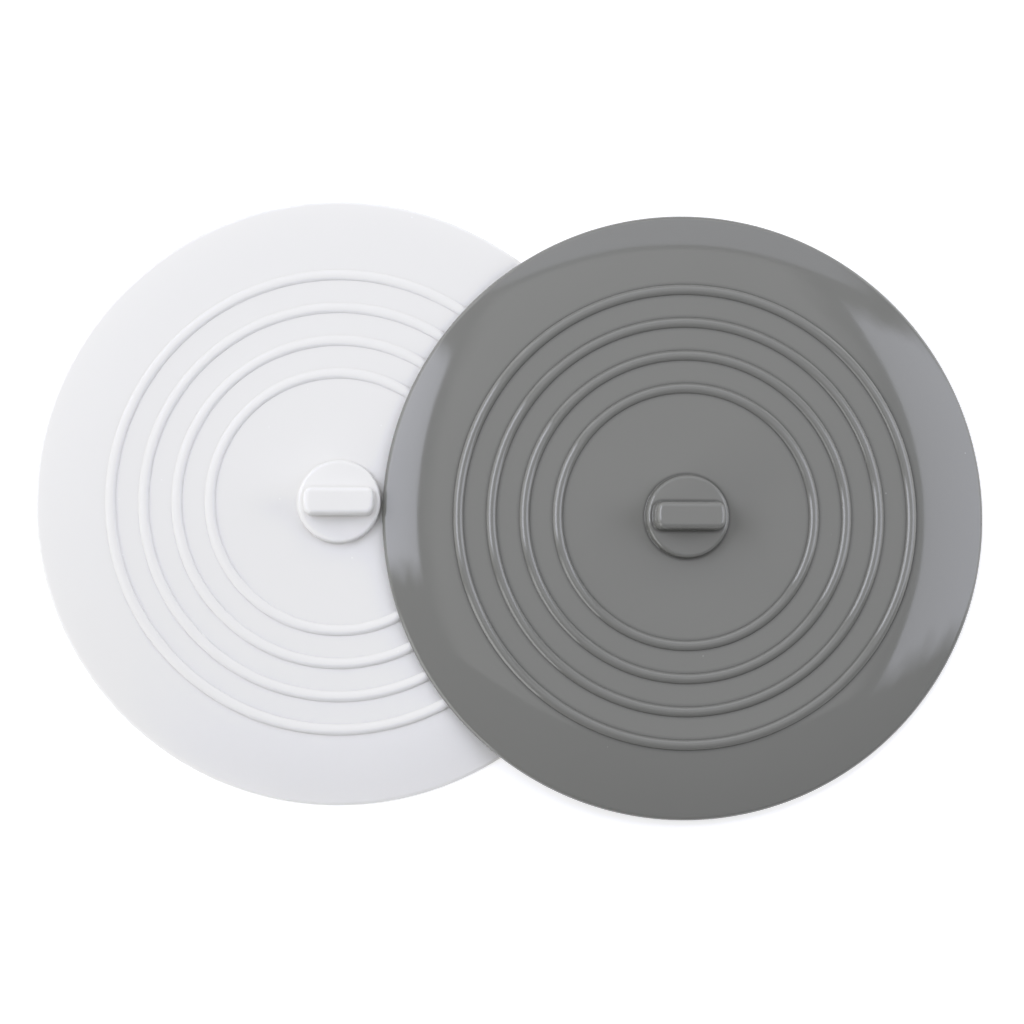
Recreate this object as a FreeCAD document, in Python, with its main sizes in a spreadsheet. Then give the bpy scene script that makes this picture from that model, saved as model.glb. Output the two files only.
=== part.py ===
import FreeCAD, Part
import math
import os
import Sketcher

# A set of two flat round drain stoppers, each moulded in one piece from silicone.
# A stopper is a thin disc that curves down to its rim, with concentric beads on top, a round boss
# in the middle and a bar across the boss to pinch it by. Its underside is flat and seals the drain.
# The white stopper lies flat. The grey one leans on it: it rests on the white one's outer bead, and
# its far edge touches the surface below.
# Millimetres and degrees, +Z up. The origin is the middle of the white stopper's underside.

# Driving dimensions: name, value, what it measures
SIZES = (
    ("rim_radius", 76.2, "outside radius of a stopper"),
    ("plate_thickness", 3.5, "thickness of the flat middle of the disc"),
    ("rim_thickness", 1.1, "thickness of the disc at its edge, before the edge is rounded"),
    ("brim_width", 22.0, "width of the band that curves down to the rim"),
    ("rim_round", 1.2, "rounding of the rim's upper edge"),
    ("bead_count", 4, "number of concentric beads"),
    ("bead_width", 2.7, "width of a bead at its foot"),
    ("bead_height", 0.8, "height of a bead above the plate"),
    ("bead_root", 0.3, "how far a bead's section runs on into the plate"),
    ("ring_inset", 19.0, "distance from the rim to the outer bead"),
    ("ring_pitch", 8.28, "distance from one bead to the next"),
    ("boss_radius", 10.5, "radius of the boss at its foot"),
    ("boss_height", 3.0, "height of the boss above the plate"),
    ("boss_draft", 5.0, "lean of the boss's wall, in degrees"),
    ("boss_edge_round", 0.8, "rounding of the boss's upper edge"),
    ("bar_width", 7.2, "width of the grip bar at its foot"),
    ("bar_height", 7.0, "height of the grip bar above the boss"),
    ("bar_draft", 3.0, "lean of the grip bar's walls, in degrees"),
    ("bar_corner_round", 2.0, "rounding of the bar's four upright corners"),
    ("bar_edge_round", 1.2, "rounding of the bar's upper edge"),
    ("bar_ledge", 0.25, "flat ledge between the bar's foot and the boss's rounding"),
    ("foot_round", 0.25, "rounding at the feet of the boss and of the bar"),
    ("rest_gap", 0.3, "clearance where one stopper lies against the other"),
    ("set_offset", 3.75, "how far the grey stopper lies towards the front"),
    ("rim_limit_share", 1.15, "largest rounding of the rim, as a share of the rim's thickness"),
)

# Lengths that several features share, as formulas on the sheet
PLATE_RADIUS = "(Sizes.rim_radius - Sizes.brim_width)"
OUTER_RING = "(Sizes.rim_radius - Sizes.ring_inset)"
BEAD_ARC = "(Sizes.bead_width ^ 2 / (8 * Sizes.bead_height) + Sizes.bead_height / 2)"
BEAD_LEVEL = f"(Sizes.plate_thickness + Sizes.bead_height - {BEAD_ARC})"
BEAD_FLOOR = "(Sizes.plate_thickness - Sizes.bead_root)"
BOSS_TOP = "(Sizes.plate_thickness + Sizes.boss_height)"
BAR_TOP = f"({BOSS_TOP} + Sizes.bar_height)"
BOSS_LEAN = "(Sizes.boss_height * tan(Sizes.boss_draft * 1deg))"
BOSS_FLAT = f"(Sizes.boss_radius - {BOSS_LEAN} - Sizes.boss_edge_round)"
BAR_REACH = f"({BOSS_FLAT} - Sizes.foot_round - Sizes.bar_ledge)"
SET_SPACING = "(Sizes.rim_radius + Sizes.boss_radius + Sizes.rest_gap)"
LEAN_RISE = "(Sizes.plate_thickness + Sizes.bead_height + Sizes.rest_gap)"
LEAN_RUN = f"({SET_SPACING} + Sizes.rim_radius - {OUTER_RING})"

# How close two heights or radii are when an edge is looked up
SAME = 1e-4


def make_sheet(doc):
    """The sheet of driving dimensions, one row each."""
    sheet = doc.addObject("Spreadsheet::Sheet", "Sizes")
    for row, (name, value, meaning) in enumerate(SIZES, start=1):
        sheet.set(f"A{row}", name)
        sheet.set(f"B{row}", str(value))
        sheet.setAlias(f"B{row}", name)
        sheet.set(f"C{row}", meaning)
    doc.recompute()
    return sheet


def measure(formula):
    """The present value of a formula on the sheet."""
    return float(sheet.evalExpression(formula))


def add_sketch(body, name, plane_role, lift=None):
    """A sketch on one of the body's own origin planes, lifted along the plane's normal."""
    sketch = body.newObject("Sketcher::SketchObject", name)
    plane = next(item for item in body.Origin.OriginFeatures if item.Role == plane_role)
    sketch.AttachmentSupport = [(plane, "")]
    sketch.MapMode = "FlatFace"
    if lift:
        sketch.setExpression("AttachmentOffset.Base.z", lift)
    return sketch


def add_dimension(sketch, name, formula, kind, *where):
    """A sketch dimension that follows a formula on the sheet."""
    index = sketch.addConstraint(Sketcher.Constraint(kind, *where, measure(formula)))
    sketch.renameConstraint(index, name)
    sketch.setExpression(f"Constraints.{name}", formula)


def add_constraints(sketch, *rules):
    """Geometric rules of a sketch, each a kind and what it joins."""
    for rule in rules:
        sketch.addConstraint(Sketcher.Constraint(*rule))


def arc_through(centre, radius, start, end):
    """An arc about a centre, counter-clockwise from one angle to another, in radians."""
    circle = Part.Circle(centre, FreeCAD.Vector(0, 0, 1), radius)
    return Part.ArcOfCircle(circle, start, end)


def add_disc(body):
    """The disc: a half section with a flat middle and a curved band, turned about Z."""
    rim = measure("Sizes.rim_radius")
    edge = measure("Sizes.rim_thickness")
    plate = measure(PLATE_RADIUS)
    top = measure("Sizes.plate_thickness")
    width = rim - plate
    drop = top - edge
    slope_radius = (width ** 2 + drop ** 2) / (2 * drop)
    slope_centre = FreeCAD.Vector(plate, top - slope_radius, 0)
    slope_start = math.pi / 2 - math.asin(width / slope_radius)

    sketch = add_sketch(body, f"{body.Name}_section", "XZ_Plane")
    sketch.addGeometry(
        [
            Part.LineSegment(FreeCAD.Vector(0, 0, 0), FreeCAD.Vector(rim, 0, 0)),
            Part.LineSegment(FreeCAD.Vector(rim, 0, 0), FreeCAD.Vector(rim, edge, 0)),
            arc_through(slope_centre, slope_radius, slope_start, math.pi / 2),
            Part.LineSegment(FreeCAD.Vector(plate, top, 0), FreeCAD.Vector(0, top, 0)),
            Part.LineSegment(FreeCAD.Vector(0, top, 0), FreeCAD.Vector(0, 0, 0)),
        ]
    )
    underside, wall, slope, face, axis = range(5)
    add_constraints(
        sketch,
        ("Coincident", underside, 1, -1, 1),
        ("Coincident", underside, 2, wall, 1),
        ("Coincident", wall, 2, slope, 1),
        ("Tangent", slope, 2, face, 1),
        ("Coincident", face, 2, axis, 1),
        ("Coincident", axis, 2, underside, 1),
        ("Horizontal", underside),
        ("Vertical", wall),
        ("Horizontal", face),
        ("Vertical", axis),
    )
    add_dimension(sketch, "rim_radius", "Sizes.rim_radius", "DistanceX", underside, 1, underside, 2)
    add_dimension(sketch, "rim_thickness", "Sizes.rim_thickness", "DistanceY", wall, 1, wall, 2)
    add_dimension(sketch, "plate_radius", PLATE_RADIUS, "DistanceX", face, 2, face, 1)
    add_dimension(sketch, "plate_thickness", "Sizes.plate_thickness", "DistanceY", axis, 2, axis, 1)
    return add_revolution(body, sketch)


def add_beads(body):
    """The concentric beads: one round section for each, rooted in the plate and turned about Z."""
    radius = measure(BEAD_ARC)
    level = measure(BEAD_LEVEL)
    floor = measure(BEAD_FLOOR)
    start = math.asin((floor - level) / radius)
    half = radius * math.cos(start)

    sketch = add_sketch(body, f"{body.Name}_bead_sections", "XZ_Plane")
    for ring in range(int(measure("Sizes.bead_count"))):
        place = f"({OUTER_RING} - {ring} * Sizes.ring_pitch)"
        middle = measure(place)
        arc = sketch.addGeometry(
            arc_through(FreeCAD.Vector(middle, level, 0), radius, start, math.pi - start)
        )
        chord = sketch.addGeometry(
            Part.LineSegment(
                FreeCAD.Vector(middle - half, floor, 0), FreeCAD.Vector(middle + half, floor, 0)
            )
        )
        add_constraints(
            sketch,
            ("Coincident", arc, 2, chord, 1),
            ("Coincident", arc, 1, chord, 2),
            ("Horizontal", chord),
        )
        add_dimension(sketch, f"bead_{ring}_place", place, "DistanceX", -1, 1, arc, 3)
        add_dimension(sketch, f"bead_{ring}_level", BEAD_LEVEL, "DistanceY", -1, 1, arc, 3)
        add_dimension(sketch, f"bead_{ring}_arc", BEAD_ARC, "Radius", arc)
        add_dimension(sketch, f"bead_{ring}_floor", BEAD_FLOOR, "DistanceY", -1, 1, chord, 1)
    return add_revolution(body, sketch)


def add_revolution(body, sketch):
    """A full turn of a half section about the sketch's upright axis."""
    turn = body.newObject("PartDesign::Revolution", f"{sketch.Name}_turned")
    turn.Profile = sketch
    turn.ReferenceAxis = (sketch, ["V_Axis"])
    turn.Angle = 360
    return turn


def add_pad(body, sketch, length, draft):
    """A sketch raised along its normal, with walls that lean in by the draft."""
    pad = body.newObject("PartDesign::Pad", f"{sketch.Name}_raised")
    pad.Profile = sketch
    pad.setExpression("Length", length)
    pad.setExpression("TaperAngle", f"-{draft}")
    return pad


def add_boss(body):
    """The round boss that the grip bar stands on."""
    sketch = add_sketch(body, f"{body.Name}_boss_outline", "XY_Plane", "Sizes.plate_thickness")
    circle = Part.Circle(FreeCAD.Vector(0, 0, 0), FreeCAD.Vector(0, 0, 1), measure("Sizes.boss_radius"))
    outline = sketch.addGeometry(circle)
    add_constraints(sketch, ("Coincident", outline, 3, -1, 1))
    add_dimension(sketch, "boss_radius", "Sizes.boss_radius", "Radius", outline)
    return add_pad(body, sketch, "Sizes.boss_height", "Sizes.boss_draft")


def add_bar(body):
    """The grip bar: two straight sides, and ends that follow the boss's round outline."""
    reach = measure(BAR_REACH)
    half = measure("Sizes.bar_width") / 2
    turn = math.asin(half / reach)
    run = reach * math.cos(turn)
    middle = FreeCAD.Vector(0, 0, 0)

    sketch = add_sketch(body, f"{body.Name}_bar_outline", "XY_Plane", BOSS_TOP)
    sketch.addGeometry(
        [
            arc_through(middle, reach, -turn, turn),
            Part.LineSegment(FreeCAD.Vector(run, half, 0), FreeCAD.Vector(-run, half, 0)),
            arc_through(middle, reach, math.pi - turn, math.pi + turn),
            Part.LineSegment(FreeCAD.Vector(-run, -half, 0), FreeCAD.Vector(run, -half, 0)),
        ]
    )
    right, back, left, front = range(4)
    add_constraints(
        sketch,
        ("Coincident", right, 3, -1, 1),
        ("Coincident", left, 3, -1, 1),
        ("Coincident", right, 2, back, 1),
        ("Coincident", back, 2, left, 1),
        ("Coincident", left, 2, front, 1),
        ("Coincident", front, 2, right, 1),
        ("Horizontal", back),
        ("Horizontal", front),
        ("Equal", right, left),
    )
    add_dimension(sketch, "bar_reach", BAR_REACH, "Radius", right)
    add_dimension(sketch, "bar_width", "Sizes.bar_width", "DistanceY", front, 2, back, 1)
    add_dimension(sketch, "bar_back", "Sizes.bar_width / 2", "DistanceY", -1, 1, back, 1)
    return add_pad(body, sketch, "Sizes.bar_height", "Sizes.bar_draft")


def add_fillet(body, name, base, radius, choose):
    """A rounding of the edges of a feature that the choose function picks."""
    doc.recompute()
    edges = [f"Edge{number}" for number, edge in enumerate(base.Shape.Edges, start=1) if choose(edge)]
    fillet = body.newObject("PartDesign::Fillet", f"{body.Name}_{name}")
    fillet.Base = (base, edges)
    fillet.setExpression("Radius", radius)
    return fillet


def level_edge(formula, least, most):
    """Picks the level edges at a height whose ends lie between two radii about Z."""
    height = measure(formula)

    def choose(edge):
        level = abs(edge.BoundBox.ZMin - height) < SAME and abs(edge.BoundBox.ZMax - height) < SAME
        spread = [math.hypot(end.X, end.Y) for end in edge.Vertexes]
        return level and least - SAME < min(spread) and max(spread) < most + SAME

    return choose


def upright_edge(edge):
    """Picks the edges that climb from the boss to the top of the bar."""
    return abs(edge.BoundBox.ZLength - measure("Sizes.bar_height")) < SAME


def make_stopper(doc, label):
    """One stopper, moulded in one piece, with its origin in the middle of its underside."""
    body = doc.addObject("PartDesign::Body", label)
    body.Label = label
    rim = measure("Sizes.rim_radius")
    boss = measure("Sizes.boss_radius")
    boss_top = boss - measure(BOSS_LEAN)
    reach = measure(BAR_REACH)
    rim_round = "min(Sizes.rim_round; Sizes.rim_thickness * Sizes.rim_limit_share)"

    solid = add_disc(body)
    solid = add_fillet(body, "rim_edge", solid, rim_round, level_edge("Sizes.rim_thickness", rim, rim))
    add_beads(body)
    solid = add_boss(body)
    solid = add_fillet(
        body, "boss_foot", solid, "Sizes.foot_round", level_edge("Sizes.plate_thickness", boss, boss)
    )
    solid = add_fillet(
        body, "boss_edge", solid, "Sizes.boss_edge_round", level_edge(BOSS_TOP, boss_top, boss_top)
    )
    solid = add_bar(body)
    solid = add_fillet(body, "bar_corners", solid, "Sizes.bar_corner_round", upright_edge)
    solid = add_fillet(body, "bar_edge", solid, "Sizes.bar_edge_round", level_edge(BAR_TOP, 0, reach))
    solid = add_fillet(body, "bar_foot", solid, "Sizes.foot_round", level_edge(BOSS_TOP, 0, reach))
    body.Tip = solid
    return body


def lean_on_white(body):
    """Lays the grey stopper on the white one, its far edge down on the surface."""
    lean = f"asin({LEAN_RISE} / {LEAN_RUN})"
    body.setExpression("Placement.Base.x", SET_SPACING)
    body.setExpression("Placement.Base.y", "-Sizes.set_offset")
    body.setExpression("Placement.Base.z", f"Sizes.rim_radius * {LEAN_RISE} / {LEAN_RUN}")
    body.setExpression("Placement.Rotation.Axis.x", "0")
    body.setExpression("Placement.Rotation.Axis.y", "1")
    body.setExpression("Placement.Rotation.Axis.z", "0")
    body.setExpression("Placement.Rotation.Angle", lean)


def check(doc, pieces):
    """Stops if a feature failed or a piece is not one valid solid."""
    for item in doc.Objects:
        if "Invalid" in item.State or "Error" in item.State:
            raise RuntimeError(f"{item.Name} did not build: {item.State}")
    for piece in pieces:
        if piece.Shape.isNull() or not piece.Shape.isValid() or len(piece.Shape.Solids) != 1:
            raise RuntimeError(f"{piece.Label} is not one valid solid")


doc = FreeCAD.newDocument("drain_stoppers")
sheet = make_sheet(doc)
white = make_stopper(doc, "white_stopper")
grey = make_stopper(doc, "grey_stopper")
lean_on_white(grey)
doc.recompute()
check(doc, (white, grey))

os.makedirs("parts", exist_ok=True)
for piece in (white, grey):
    piece.Shape.exportStep(f"parts/{piece.Label}.step")
    box = piece.Shape.optimalBoundingBox()
    extent = f"{box.XLength:.2f} x {box.YLength:.2f} x {box.ZLength:.2f} mm, from z {box.ZMin:.3f}"
    print(f"{piece.Label}: {piece.Shape.Volume:.0f} mm3, {extent}")
print(f"clearance between the stoppers: {white.Shape.distToShape(grey.Shape)[0]:.3f} mm")
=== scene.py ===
# %% [markdown]
# Two silicone drain stoppers, a white one and a grey one that lies partly over it, seen from above.
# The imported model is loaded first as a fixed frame. Everything made below goes where that frame says,
# in metres, so nothing has to be fitted by eye afterwards. The box around the frame is kept, because
# the finished pieces have to stay inside it.

# %% Load the frame
import bmesh
import bpy
import math
from mathutils import Matrix, Vector


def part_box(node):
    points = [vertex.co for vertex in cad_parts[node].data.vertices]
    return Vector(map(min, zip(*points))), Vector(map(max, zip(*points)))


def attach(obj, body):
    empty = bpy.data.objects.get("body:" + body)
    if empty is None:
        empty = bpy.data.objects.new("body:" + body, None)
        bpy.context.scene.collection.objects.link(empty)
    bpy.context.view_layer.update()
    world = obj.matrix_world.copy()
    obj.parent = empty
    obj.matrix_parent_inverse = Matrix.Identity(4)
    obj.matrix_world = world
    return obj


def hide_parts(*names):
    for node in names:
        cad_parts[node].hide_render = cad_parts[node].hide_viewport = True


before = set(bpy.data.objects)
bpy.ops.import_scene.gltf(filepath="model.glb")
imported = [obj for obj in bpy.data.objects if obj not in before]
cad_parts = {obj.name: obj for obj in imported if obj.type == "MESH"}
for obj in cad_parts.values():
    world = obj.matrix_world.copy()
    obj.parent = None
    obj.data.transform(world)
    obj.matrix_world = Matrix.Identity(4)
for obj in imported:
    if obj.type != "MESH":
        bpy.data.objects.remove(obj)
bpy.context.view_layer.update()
scene = bpy.context.scene

# %% [markdown]
# A stopper is one moulding: a thin disc that curves down to its rim, four round beads, a low boss and a
# bar to pinch. The outside radius and the full height are read from the frame. The smaller sizes are
# those of the mould. Lengths on the stoppers are written in millimetres, and MM turns them into metres.

# %% Sizes of the mould
MM = 0.001
white_low, white_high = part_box("white_stopper")
grey_low, grey_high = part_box("grey_stopper")

RIM_RADIUS = (white_high.x - white_low.x) / 2
PLATE_TOP = 3.5 * MM
RIM_THICKNESS = 1.1 * MM
RIM_ROUND = 0.95 * MM
RIM_CHAMFER = 0.1 * MM
BRIM_WIDTH = 22.0 * MM

BEAD_COUNT = 4
BEAD_WIDTH = 2.7 * MM
BEAD_HEIGHT = 0.8 * MM
RING_INSET = 19.0 * MM
RING_PITCH = 8.28 * MM
OUTER_RING = RIM_RADIUS - RING_INSET

BOSS_RADIUS = 10.5 * MM
BOSS_HEIGHT = 3.0 * MM
BOSS_DRAFT = math.radians(5)
BOSS_ROUND = 0.8 * MM
BOSS_TOP = PLATE_TOP + BOSS_HEIGHT
BOSS_EDGE = BOSS_RADIUS - BOSS_HEIGHT * math.tan(BOSS_DRAFT)

BAR_TOP = white_high.z
BAR_WIDTH = 7.2 * MM
BAR_DRAFT = math.radians(3)
BAR_CORNER = 2.0 * MM
BAR_ROUND = 1.2 * MM
BAR_LEDGE = 0.25 * MM
FOOT_ROUND = 0.25 * MM
print(f"radius {RIM_RADIUS / MM:.1f} mm, bar {(BAR_TOP - BOSS_TOP) / MM:.1f} mm above the boss")

# %% [markdown]
# A disc that is the same all the way round is a lathe shape, so only half of its section is drawn, as a
# bent wire in the XZ plane, and then spun. The wire starts with its corners alone, and an arc is the path
# of one vertex that is spun about a centre. Small rounds come from a bevel of single vertices: on a wire
# it replaces a corner by an arc that runs smoothly into both sides.

# %% Tools for a wire
ACROSS_WIRE = (0, 1, 0)
UPWARD = (0, 0, 1)


def add_wire(bm, points):
    """Vertices at (radius, height) points, joined one after another."""
    verts = [bm.verts.new((radius, 0, height)) for radius, height in points]
    for first, second in zip(verts, verts[1:]):
        bm.edges.new((first, second))
    return verts


def only_vert(items):
    """The one vertex in what an operator gives back."""
    return next(item for item in items if isinstance(item, bmesh.types.BMVert))


def spin_vert(bm, vert, centre, axis, angle, steps):
    """Spins a vertex along an arc and returns the vertex at its end."""
    arc = bmesh.ops.spin(bm, geom=[vert], cent=centre, axis=axis, angle=angle, steps=steps)
    return only_vert(arc["geom_last"])


def round_corner(bm, vert, offset, segments):
    """Replaces a corner of a wire by an arc that starts and ends an offset away from it."""
    bmesh.ops.bevel(
        bm, geom=[vert], offset=offset, offset_type="OFFSET", segments=segments,
        profile=0.5, affect="VERTICES", material=-1, clamp_overlap=False,
    )


# %% [markdown]
# The section runs from the axis along the flat underside, round the thin rim and up the brim, a long curve
# about a centre far below. It goes on along the plate and up the boss, and stops where the bar will stand.
# The boss's rounding uses nearly all of the last run, and a sliver of it stays flat.

# %% Draw the half section
BRIM_STEPS = 20
ROUND_STEPS = 8
FOOT_STEPS = 4
CHAMFER_STEPS = 2
BOSS_ROUND_SHARE = 0.98


def draw_section(bm):
    """The half section of disc and boss, without beads, from the axis below to the top of the boss."""
    drop = PLATE_TOP - RIM_THICKNESS
    brim_arc = (BRIM_WIDTH ** 2 + drop ** 2) / (2 * drop)
    lower = add_wire(bm, [(0, 0), (RIM_RADIUS, 0), (RIM_RADIUS, RIM_THICKNESS)])
    upper = add_wire(
        bm, [(BOSS_RADIUS, PLATE_TOP), (BOSS_EDGE, BOSS_TOP), (BOSS_EDGE - BOSS_ROUND, BOSS_TOP)]
    )
    brim_centre = (RIM_RADIUS - BRIM_WIDTH, 0, PLATE_TOP - brim_arc)
    brim_turn = -math.asin(BRIM_WIDTH / brim_arc)
    plate_end = spin_vert(bm, lower[2], brim_centre, ACROSS_WIRE, brim_turn, BRIM_STEPS)
    bm.edges.new((plate_end, upper[0]))
    round_corner(bm, lower[2], RIM_ROUND, ROUND_STEPS)
    round_corner(bm, lower[1], RIM_CHAMFER, CHAMFER_STEPS)
    round_corner(bm, upper[0], FOOT_ROUND, FOOT_STEPS)
    round_corner(bm, upper[1], BOSS_ROUND * BOSS_ROUND_SHARE, ROUND_STEPS)
    print(f"half section: {len(bm.verts)} vertices")


# %% [markdown]
# Each bead is a low ring with a round back. The line of the disc is cut at the bead's two feet, and what
# lies between them is taken out. One foot is then spun over to the other about a centre below the plate,
# which draws the arc of the bead's back and meets the plate in a crisp corner at both feet.

# %% Raise the beads
BEAD_STEPS = 16
CUT_SLACK = 1e-9
INSIDE_SHARE = 0.999


def cut_wire(bm, radius):
    """Cuts the upper line of the wire at a radius and returns the new vertex."""
    upper = [edge for edge in bm.edges if all(vert.co.z > RIM_THICKNESS for vert in edge.verts)]
    cut = bmesh.ops.bisect_plane(
        bm, geom=upper, dist=CUT_SLACK, plane_co=(radius, 0, 0), plane_no=(1, 0, 0)
    )
    return only_vert(cut["geom_cut"])


def raise_bead(bm, ring):
    """One bead on the wire: an arc from foot to foot."""
    half = BEAD_WIDTH / 2
    radius = (half ** 2 + BEAD_HEIGHT ** 2) / (2 * BEAD_HEIGHT)
    inner, outer = cut_wire(bm, ring - half), cut_wire(bm, ring + half)
    under = [
        vert for vert in bm.verts
        if abs(vert.co.x - ring) < half * INSIDE_SHARE and vert.co.z > RIM_THICKNESS
    ]
    bmesh.ops.dissolve_verts(bm, verts=under)
    bm.edges.remove(bm.edges.get((inner, outer)))
    centre = (ring, 0, inner.co.z + BEAD_HEIGHT - radius)
    landed = spin_vert(bm, inner, centre, ACROSS_WIRE, 2 * math.asin(half / radius), BEAD_STEPS)
    bmesh.ops.weld_verts(bm, targetmap={landed: outer})


# %% [markdown]
# The spin turns the wire into a skin. A full turn needs its ends merged, or a seam stays open, and the
# vertices on the axis all land on one point, so doubles are merged too. Long straight runs are divided
# first, so that the soft disc has enough rings to bend later.

# %% Spin the disc
SPIN_STEPS = 256
LONGEST_RUN = 4.0 * MM
MERGE_DISTANCE = 0.0001 * MM


def divide_runs(bm):
    """Divides every long straight run of the wire into pieces that can bend."""
    for edge in list(bm.edges):
        cuts = int(edge.calc_length() / LONGEST_RUN)
        if cuts:
            bmesh.ops.subdivide_edges(bm, edges=[edge], cuts=cuts)


def spin_disc(bm):
    """Disc, beads and boss, open on top where the bar stands."""
    draw_section(bm)
    for number in range(BEAD_COUNT):
        raise_bead(bm, OUTER_RING - number * RING_PITCH)
    divide_runs(bm)
    bmesh.ops.spin(
        bm, geom=bm.verts[:] + bm.edges[:], cent=(0, 0, 0), axis=UPWARD, angle=2 * math.pi,
        steps=SPIN_STEPS, use_merge=True,
    )
    bmesh.ops.remove_doubles(bm, verts=bm.verts[:], dist=MERGE_DISTANCE)
    print(f"spun disc: {len(bm.faces)} faces")


# %% [markdown]
# The grip bar has two straight sides and ends that follow the boss. Its outline is drawn by one vertex
# that is spun round the bar's corners and ends in turn. Half a turn of the outline ends where the other
# half starts, so both sides come from one loop.

# %% Draw the bar's outline
CORNER_STEPS = 8
END_STEPS = 6


def sweep(bm, vert, x, y, angle, steps):
    """Spins a vertex about a point of the boss's top and returns where it lands."""
    return spin_vert(bm, vert, (x, y, BOSS_TOP), UPWARD, angle, steps)


def add_bar_outline(bm, margin):
    """The outline of the bar's foot on top of the boss, widened by a margin, as one face."""
    reach = BOSS_EDGE - BOSS_ROUND - FOOT_ROUND - BAR_LEDGE + margin
    half = BAR_WIDTH / 2 + margin
    corner = BAR_CORNER + margin
    rise = half - corner
    run = math.sqrt((reach - corner) ** 2 - rise ** 2)
    turn = math.atan2(rise, run)
    first = bm.verts.new((run, -half, BOSS_TOP))
    vert = first
    for side in (1, -1):
        vert = sweep(bm, vert, side * run, -side * rise, math.pi / 2 - turn, CORNER_STEPS)
        vert = sweep(bm, vert, 0, 0, 2 * turn, END_STEPS)
        vert = sweep(bm, vert, side * run, side * rise, math.pi / 2 - turn, CORNER_STEPS)
        if side > 0:
            opposite = bm.verts.new((-run, half, BOSS_TOP))
            bm.edges.new((vert, opposite))
            vert = opposite
    bm.edges.new((vert, first))
    outline = [edge for edge in bm.edges if edge.is_wire]
    return bmesh.ops.edgeloop_fill(bm, edges=outline)["faces"][0]


# %% [markdown]
# The flat face inside the outline is shaped step by step: an inset leaves a small border, a strip drawn in
# a little makes the walls, as a mould needs, and further small insets, each a bit less steep, round the
# upper edge. A last inset holds the top flat. An inset moves all sides by the same amount, where scaling
# a long bar would not.

# %% Raise the bar
BAR_BORDER = BAR_LEDGE / 4


def step_in(bm, face, inward, upward):
    """Insets a face and lifts it: one strip of a rounding or of a wall."""
    bmesh.ops.inset_region(bm, faces=[face], thickness=inward, use_even_offset=True, use_boundary=True)
    bmesh.ops.translate(bm, verts=face.verts[:], vec=(0, 0, upward))


def step_round(bm, face, radius, start, end, steps):
    """Takes a face along an arc: from one slope to another, in radians above level."""
    slopes = [start + (end - start) * number / steps for number in range(steps + 1)]
    for low, high in zip(slopes, slopes[1:]):
        inward, upward = abs(math.sin(high) - math.sin(low)), abs(math.cos(high) - math.cos(low))
        step_in(bm, face, radius * inward, radius * upward)


def raise_bar(bm):
    """The bar, from its outline to its rounded top, and the open edge around its foot."""
    steepest = math.pi / 2 - BAR_DRAFT
    foot_tangent = FOOT_ROUND * math.tan(steepest / 2)
    top = add_bar_outline(bm, foot_tangent + BAR_BORDER)
    border = list(top.edges)
    step_in(bm, top, BAR_BORDER, 0)
    step_round(bm, top, FOOT_ROUND, 0, steepest, FOOT_STEPS)
    crown = BAR_TOP - BAR_ROUND * (1 - math.cos(steepest))
    wall = crown - top.verts[0].co.z
    step_in(bm, top, wall * math.tan(BAR_DRAFT), wall)
    step_round(bm, top, BAR_ROUND, steepest, 0, ROUND_STEPS)
    step_in(bm, top, BAR_BORDER, 0)
    return border


# %% [markdown]
# Bar and disc are one moulding, so they become one closed skin. What is left between them is a flat ring
# on top of the boss with a round outer and a long inner edge. A triangle fill closes such a flat gap
# between two loops. Normals are recalculated when the skin is closed. Then every edge that folds inwards
# by a steep angle is marked sharp, so that the feet of the beads stay crisp in an otherwise smooth skin.

# %% Join bar and disc
SHARP_FOLD = math.radians(35)


def make_stopper_mesh():
    """A whole stopper about the origin, as one closed skin."""
    bm = bmesh.new()
    spin_disc(bm)
    hole = [edge for edge in bm.edges if edge.is_boundary]
    border = raise_bar(bm)
    open_edges = [edge for edge in bm.edges if edge.is_boundary]
    print(f"open edges: {len(hole)} at the boss, {len(border)} at the bar, {len(open_edges)} in all")
    bmesh.ops.triangle_fill(bm, use_beauty=True, edges=open_edges, normal=UPWARD)
    bmesh.ops.remove_doubles(bm, verts=bm.verts[:], dist=MERGE_DISTANCE)
    bmesh.ops.recalc_face_normals(bm, faces=bm.faces[:])
    for face in bm.faces:
        face.smooth = True
    for edge in bm.edges:
        edge.smooth = edge.calc_face_angle_signed(0) > -SHARP_FOLD
    gaps = sum(not edge.is_manifold for edge in bm.edges)
    volume = bm.calc_volume() / MM ** 3
    print(f"stopper: {len(bm.faces)} faces, {gaps} edges that are not closed, {volume:.0f} mm3")
    return bm


# %% [markdown]
# The white stopper lies flat. The grey one leans on it: its far edge is on the surface below, and near
# the white one's outer bead the soft disc bends and then lies level on the beads. The bend is an arc,
# and each vertex left of it is carried round by hand, since the disc keeps its length and thickness.

# %% Lay the grey stopper over the white one
REST_GAP = 0.3 * MM
GREY_X = RIM_RADIUS + BOSS_RADIUS + REST_GAP
GREY_Y = (grey_low.y + grey_high.y) / 2
LEAN = math.asin((PLATE_TOP + BEAD_HEIGHT + REST_GAP) / (GREY_X + RIM_RADIUS - OUTER_RING))
BEND_START = 17.0 * MM
BEND_RADIUS = 450.0 * MM


def bend(point):
    """Where a point of the flat disc goes when its left part bends down to lie level."""
    beyond = -BEND_START - point.x
    if beyond <= 0:
        return point
    turn = min(beyond / BEND_RADIUS, LEAN)
    straight = beyond - turn * BEND_RADIUS
    sine, cosine = math.sin(turn), math.cos(turn)
    x = -BEND_START - BEND_RADIUS * sine - straight * cosine - point.z * sine
    z = -BEND_RADIUS * (1 - cosine) - straight * sine + point.z * cosine
    return Vector((x, point.y, z))


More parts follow.
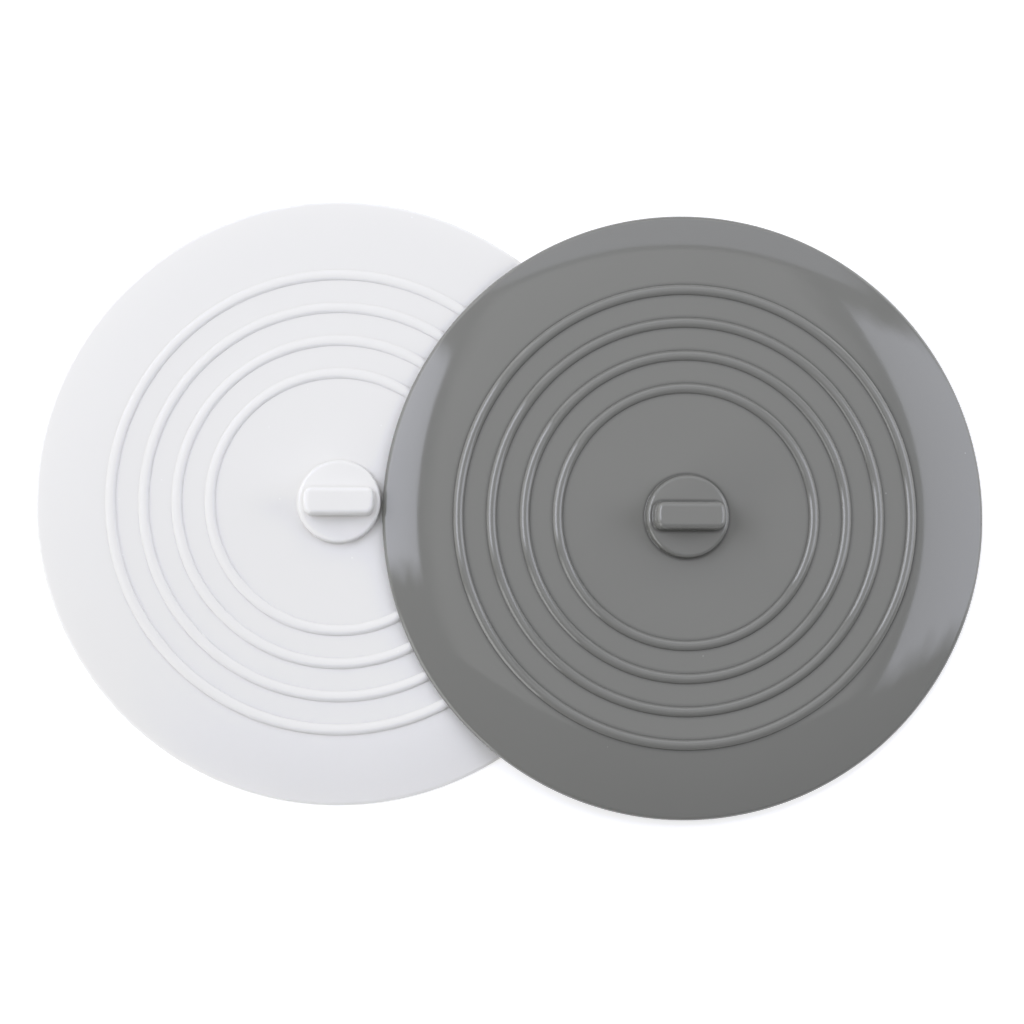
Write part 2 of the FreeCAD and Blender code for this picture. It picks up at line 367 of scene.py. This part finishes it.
def lay_grey(bm):
    """Bends the disc, leans it and sets it down beside the white boss."""
    for vert in bm.verts:
        vert.co = bend(vert.co)
    lean = Matrix.Rotation(LEAN, 4, "Y")
    place = Matrix.Translation((GREY_X, GREY_Y, RIM_RADIUS * math.sin(LEAN)))
    bmesh.ops.transform(bm, matrix=place @ lean, verts=bm.verts[:])
    print(f"grey stopper leans {math.degrees(LEAN):.2f} degrees")


# %% [markdown]
# Shader maths reads best as plain arithmetic. This small class wraps a socket, and its operators add the
# Math nodes. Every other node comes from one method, which takes the node's type, its settings and the
# values or links of its sockets. A value can also be held between 0 and 1, or be the share of a second
# colour in a mix.

# %% A socket that can be calculated with


class Wire:
    """An output socket of a node tree, with arithmetic."""

    def __init__(self, tree, socket=None):
        self.tree = tree
        self.socket = socket

    def node(self, kind, settings=None, sockets=None, out=0):
        """Adds a node, with its settings and its inputs, and returns one of its outputs."""
        node = self.tree.nodes.new(kind)
        for name, value in (settings or {}).items():
            setattr(node, name, value)
        for name, value in (sockets or {}).items():
            if isinstance(value, Wire):
                self.tree.links.new(value.socket, node.inputs[name])
            else:
                node.inputs[name].default_value = value
        return Wire(self.tree, node.outputs[out] if len(node.outputs) else None)

    def math(self, operation, first, second):
        return self.node("ShaderNodeMath", {"operation": operation}, {0: first, 1: second})

    def clamped(self):
        return self.node("ShaderNodeClamp", sockets={"Value": self})

    def blend(self, first, second):
        """A colour between two, with this value as the share of the second."""
        return self.node("ShaderNodeMix", {"data_type": "RGBA"}, {0: self, 6: first, 7: second}, out=2)

    def __add__(self, other):
        return self.math("ADD", self, other)

    __radd__ = __add__

    def __mul__(self, other):
        return self.math("MULTIPLY", self, other)

    __rmul__ = __mul__

    def __sub__(self, other):
        return self.math("SUBTRACT", self, other)

    def __rsub__(self, other):
        return self.math("SUBTRACT", other, self)

    def __lt__(self, other):
        return self.math("LESS_THAN", self, other)

    def __abs__(self):
        return self.math("ABSOLUTE", self, 0)


# %% [markdown]
# The body colour of moulded silicone is even, with faint clouds. A few specks of dust cling to it, as they
# do to every silicone. The creases at the feet of beads and grip get painted shade: the colour is made
# darker there, where light reaches less. An Ambient Occlusion node finds the creases. It looks at the piece
# alone, so nothing changes when the pieces move apart. All patterns read Object coordinates.

# %% The colour of the silicone
CLOUDS = {"Scale": 28, "Detail": 3}
DUST_GAIN = 1.35
DUST_LIFT = 0.04
DUST_SHARE = 0.6
# Painted shade in the creases: how far the Ambient Occlusion node looks, how strongly it darkens, and its
# rays.
PAINTED_SHADE_REACH = 1.0 * MM
PAINTED_SHADE_GAIN = 2.2
PAINTED_SHADE_RAYS = 8
MIDDLE = 0.5


def noise(place, pattern):
    """Soft noise at a place, from 0 to 1."""
    return place.node("ShaderNodeTexNoise", sockets={"Vector": place, **pattern})


def silicone_colour_and_shade(place, speck, body, cloud, crease_shade):
    """The body colour with clouds, specks of dust and painted shade in the creases."""
    dust = [min(1, value * DUST_GAIN + DUST_LIFT) for value in body[:3]] + [1]
    # Painted shade: where the Ambient Occlusion node finds a crease closed in, the colour turns towards the
    # crease shade colour.
    open_share = place.node(
        "ShaderNodeAmbientOcclusion", {"samples": PAINTED_SHADE_RAYS, "only_local": True},
        {"Distance": PAINTED_SHADE_REACH}, out="AO",
    )
    clouded = noise(place, CLOUDS).blend(body, cloud)
    dusted = (speck * DUST_SHARE).blend(clouded, dust)
    return ((1 - open_share) * PAINTED_SHADE_GAIN).clamped().blend(dusted, crease_shade)


# %% [markdown]
# The grey silicone is smooth and mirrors the lamps faintly. A very fine grain and slow waves in the surface
# break the mirror image up a little. The white one is duller and lets light in for about a millimetre, which
# softens the shadows at its beads, so it gets subsurface scattering. One function makes both finishes.

# %% The silicone finish
PATCHES = {"Scale": 90, "Detail": 4}
GRAIN = {"Scale": 2600, "Detail": 2}
WAVES = {"Scale": 55, "Detail": 1}
PATCH_ROUGHNESS = 0.05
SPECK_ROUGHNESS = 0.3
GRAIN_HEIGHT = 0.0008 * MM
WAVE_HEIGHT = 0.03 * MM
DUST_SCALE = 110
SPECK_SIZE = 0.022
SILICONE_IOR = 1.42


def silicone(name, body, cloud, crease_shade, roughness, gloss, depth):
    """Moulded silicone, which light enters to a depth, in metres."""
    material = bpy.data.materials.new(name)
    material.use_nodes = True
    material.node_tree.nodes.clear()
    place = Wire(material.node_tree).node("ShaderNodeTexCoord", out="Object")
    dust = place.node("ShaderNodeTexVoronoi", sockets={"Vector": place, "Scale": DUST_SCALE})
    speck = dust < SPECK_SIZE
    rough = roughness + (noise(place, PATCHES) - MIDDLE) * PATCH_ROUGHNESS + speck * SPECK_ROUGHNESS
    height = noise(place, GRAIN) * GRAIN_HEIGHT + noise(place, WAVES) * WAVE_HEIGHT
    normal = place.node("ShaderNodeBump", sockets={"Strength": 1.0, "Distance": 1.0, "Height": height})
    shader = place.node("ShaderNodeBsdfPrincipled", sockets={
        "Base Color": silicone_colour_and_shade(place, speck, body, cloud, crease_shade),
        "Roughness": rough,
        "Normal": normal,
        "IOR": SILICONE_IOR,
        "Specular IOR Level": gloss,
        "Subsurface Weight": 1.0 if depth else 0.0,
        "Subsurface Radius": (1, 1, 1),
        "Subsurface Scale": depth,
    })
    place.node("ShaderNodeOutputMaterial", sockets={"Surface": shader})
    print(f"{name}: {len(material.node_tree.nodes)} nodes")
    return material


# The crease colours of both silicones are painted shade: near black for the grey one, a warm grey for the
# white one.
white_silicone = silicone(
    "white_silicone", body=(0.786, 0.781, 0.768, 1), cloud=(0.801, 0.796, 0.783, 1),
    crease_shade=(0.775, 0.762, 0.738, 1), roughness=0.4, gloss=0.3, depth=1.1 * MM,
)
grey_silicone = silicone(
    "grey_silicone", body=(0.187, 0.187, 0.172, 1), cloud=(0.196, 0.196, 0.181, 1),
    crease_shade=(0.035, 0.034, 0.032, 1), roughness=0.06, gloss=0.83, depth=0,
)

# %% [markdown]
# Each finished skin becomes an object at the origin, with its place in its mesh. It rides on its body,
# stands for its solid and takes the finish of its slot. Weighted normals let the large flat faces decide
# the shading, so that flats stay flat right up to the small rounds beside them.

# %% Make both stoppers
FLAT_WEIGHT = 80


def add_piece(name, bm, material, body, node):
    """An object from a finished mesh, tied to the frame."""
    mesh = bpy.data.meshes.new(name)
    bm.to_mesh(mesh)
    bm.free()
    mesh.materials.append(material)
    piece = bpy.data.objects.new(name, mesh)
    scene.collection.objects.link(piece)
    normals = piece.modifiers.new("flat faces first", "WEIGHTED_NORMAL")
    normals.weight = FLAT_WEIGHT
    normals.keep_sharp = True
    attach(piece, body)
    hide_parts(node)
    print(f"{name}: {len(mesh.polygons)} faces")


white_mesh = make_stopper_mesh()
grey_mesh = white_mesh.copy()
lay_grey(grey_mesh)
add_piece("white_moulding", white_mesh, white_silicone, "white", "white_stopper")
add_piece("grey_moulding", grey_mesh, grey_silicone, "grey", "grey_stopper")

# %% [markdown]
# The set lies on a plain white surface. A large flat grid is enough. It glows a little, as a white table
# does in a bright picture.

# %% The floor
FLOOR_SIZE = 4.0
FLOOR_DROP = 0.05 * MM
FLOOR_FINISH = {
    "Base Color": (0.93, 0.93, 0.93, 1),
    "Roughness": 0.9,
    "Specular IOR Level": 0.0,
    "Emission Color": (1, 1, 1, 1),
    "Emission Strength": 0.45,
}

floor_grid = bmesh.new()
bmesh.ops.create_grid(floor_grid, x_segments=1, y_segments=1, size=FLOOR_SIZE)
bmesh.ops.translate(floor_grid, verts=floor_grid.verts[:], vec=(0, 0, -FLOOR_DROP))
floor_mesh = bpy.data.meshes.new("floor")
floor_grid.to_mesh(floor_mesh)
floor_grid.free()
floor = bpy.data.objects.new("floor", floor_mesh)
scene.collection.objects.link(floor)
floor_paint = bpy.data.materials.new("white_table")
floor_paint.use_nodes = True
for name, value in FLOOR_FINISH.items():
    floor_paint.node_tree.nodes["Principled BSDF"].inputs[name].default_value = value
floor_mesh.materials.append(floor_paint)
print(f"floor: {2 * FLOOR_SIZE:.0f} m across")

# %% [markdown]
# Two tall softboxes stand left and right of the table, and the camera looks down between them. A softbox
# glows more at its foot, and its ends fade unevenly, as its cloth hangs in folds. A lamp's node tree can do
# that with the lamp's own coordinates, which run from 0 to 1 across it and up it.

# %% The glow of a softbox
FEATHER = 0.10
FOLDS = {"Scale": 9, "Detail": 2}
FOLD_SHARE = 0.14
BLACK = (0, 0, 0, 1)
WHITE = (1, 1, 1, 1)


def shape_glow(lamp, taper, rise):
    """Fades a lamp's ends, draws them in towards its foot and lets the foot glow more."""
    lamp.use_nodes = True
    lamp.node_tree.nodes.clear()
    place = Wire(lamp.node_tree).node("ShaderNodeNewGeometry", out="Parametric")
    across = place.node("ShaderNodeSeparateXYZ", sockets={0: place}, out="X")
    down = 1 - place.node("ShaderNodeSeparateXYZ", sockets={0: place}, out="Y")
    folds = (noise(place, FOLDS) - MIDDLE) * FOLD_SHARE
    room = MIDDLE - down * taper - abs(across - MIDDLE) + folds
    fade = (room * (1 / FEATHER)).clamped()
    share = fade * (down * rise + 1) * (1 / (1 + rise))
    colour = share.blend(BLACK, WHITE)
    glow = place.node("ShaderNodeEmission", sockets={"Color": colour, "Strength": 1 + rise})
    place.node("ShaderNodeOutputLight", sockets={"Surface": glow})


# %% [markdown]
# The curved brim mirrors the softboxes, so their upper edges draw the edges of the bright patches on it.
# Each lamp is therefore placed by that edge and hangs down from there along a run. A lamp at the side is
# wide along Y, one at the back or above along X. Its power comes from how bright it should look, times its
# area, so a lamp can be made larger without looking brighter.

# %% Hang a softbox
SIDE_LIMIT = 0.5


def softbox(name, edge, run, width, length, radiance, colour, taper=0.0, rise=0.0):
    """A flat lamp that hangs from the middle of its upper edge along a run, and faces the table."""
    run = Vector(run).normalized()
    along = Vector((0, 1, 0)) if abs(run.y) < SIDE_LIMIT else Vector((1, 0, 0))
    back = along.cross(run).normalized()
    middle = Vector(edge) + run * length / 2
    if back.dot(middle) < 0:
        back = -back
    lamp = bpy.data.lights.new(name, "AREA")
    lamp.shape = "RECTANGLE"
    lamp.size = width
    lamp.size_y = length
    lamp.energy = radiance * math.pi * width * length
    lamp.color = colour
    shape_glow(lamp, taper, rise)
    up = -run
    turn = Matrix((up.cross(back), up, back)).transposed().to_4x4()
    obj = bpy.data.objects.new(name, lamp)
    obj.matrix_world = Matrix.Translation(middle) @ turn
    obj.visible_camera = False
    scene.collection.objects.link(obj)
    print(f"{name}: {lamp.energy:.2f} W at {[round(value, 2) for value in middle]}")


# %% [markdown]
# The two softboxes are bluish, like daylight, and so is a soft light at the back. A dim ceiling hangs above
# the set, and pale walls stand behind the lamps and at the front left. They fill the shadows, and the beads
# mirror them as fine lines. No lamp is visible to the camera itself.

# %% Lights
DAYLIGHT = (0.86, 0.88, 1.0)
NEUTRAL = (1.0, 1.0, 1.0)

softbox(
    "right_softbox", edge=(0.467, 0.075, 0.80), run=(0.327, 0, -0.945), width=0.53, length=0.54,
    radiance=2.2, colour=DAYLIGHT, taper=0.12, rise=0.7,
)
softbox(
    "left_softbox", edge=(-0.188, 0.113, 0.80), run=(-0.09, 0, -0.996), width=0.35, length=0.54,
    radiance=3.0, colour=DAYLIGHT, taper=0.0, rise=0.8,
)
softbox(
    "back_softbox", edge=(0.10, 0.42, 0.80), run=(0, 0.6, -0.8), width=1.0, length=0.3,
    radiance=1.05, colour=DAYLIGHT,
)
softbox(
    "ceiling", edge=(0.135, 0.42, 0.86), run=(0, -1, -0.001), width=0.64, length=0.58,
    radiance=0.55, colour=NEUTRAL,
)
softbox(
    "right_wall", edge=(0.665, 0.27, 0.31), run=(0.3, 0, -0.95), width=1.0, length=0.32,
    radiance=1.5, colour=NEUTRAL,
)
softbox(
    "left_wall", edge=(-0.45, 0.32, 0.50), run=(-0.1, 0, -0.995), width=0.96, length=0.48,
    radiance=1.3, colour=NEUTRAL,
)
softbox(
    "front_left_wall", edge=(-0.45, -0.48, 0.50), run=(-0.1, 0, -0.995), width=0.62, length=0.48,
    radiance=2.4, colour=NEUTRAL,
)
softbox(
    "back_wall", edge=(0.15, 0.60, 0.58), run=(0, 0.6, -0.8), width=1.5, length=0.28,
    radiance=1.4, colour=NEUTRAL,
)

# %% [markdown]
# The rest of the room is dim overhead, so that the lamps stand out in the mirror image, and pale towards
# the horizon, where the table ends. The world's own coordinates give the direction of each look outwards,
# and its height decides between the two greys.

# %% The room
ROOM_DIM = (0.1, 0.1, 0.1, 1)
ROOM_PALE = (0.75, 0.75, 0.75, 1)
HORIZON_GAIN = 12

world = bpy.data.worlds.new("room")
world.use_nodes = True
world.node_tree.nodes.clear()
direction = Wire(world.node_tree).node("ShaderNodeTexCoord", out="Generated")
height = direction.node("ShaderNodeSeparateXYZ", sockets={0: direction}, out="Z")
sky = (1 - height * HORIZON_GAIN).clamped().blend(ROOM_DIM, ROOM_PALE)
background = direction.node("ShaderNodeBackground", sockets={"Color": sky})
direction.node("ShaderNodeOutputWorld", sockets={"Surface": background})
scene.world = world
print(f"room: {len(world.node_tree.nodes)} nodes")

# %% [markdown]
# The camera hangs above the table, a little to the left and to the front of the set, and looks at the
# middle of the picture with +Y up. Its lens is worked out from how much of the table the picture shows.

# %% Camera
CAMERA_PLACE = Vector((15.7, -34, 760)) * MM
CAMERA_TARGET = Vector((43.44, -2.5, 3)) * MM
PICTURE_WIDTH = 257.75 * MM
SENSOR_WIDTH = 36

camera_data = bpy.data.cameras.new("camera")
camera = bpy.data.objects.new("camera", camera_data)
scene.collection.objects.link(camera)
view = CAMERA_TARGET - CAMERA_PLACE
back = -view.normalized()
right = Vector((0, 1, 0)).cross(back).normalized()
turn = Matrix((right, back.cross(right), back)).transposed().to_4x4()
camera.matrix_world = Matrix.Translation(CAMERA_PLACE) @ turn
camera_data.sensor_width = SENSOR_WIDTH
camera_data.lens = SENSOR_WIDTH * view.length / PICTURE_WIDTH
scene.camera = camera
print(f"camera: {camera_data.lens:.1f} mm lens")

# %% [markdown]
# A camera's tone curve leans over in the highlights, so that white things keep some shape next to a white
# table. Blender can do the same with a curve on the finished picture. This one leaves greys as they are,
# lifts pale tones a little, holds bright whites down and comes back to full white where the table is.

# %% Tone curve
TONE_LIMIT = 2.0
TONE_POINTS = [(0.55, 0.55), (0.78, 0.80), (0.98, 0.905), (1.08, 1.0)]

scene.view_settings.view_transform = "Standard"
scene.view_settings.use_curve_mapping = True
tone = scene.view_settings.curve_mapping
tone.clip_max_x = TONE_LIMIT
tone.clip_max_y = TONE_LIMIT
*_, joint_curve = tone.curves
joint_curve.points[1].location = (TONE_LIMIT, TONE_LIMIT)
for bright, shown in TONE_POINTS:
    joint_curve.points.new(bright, shown).handle_type = "VECTOR"
tone.update()
print(f"tone curve: {len(joint_curve.points)} points")
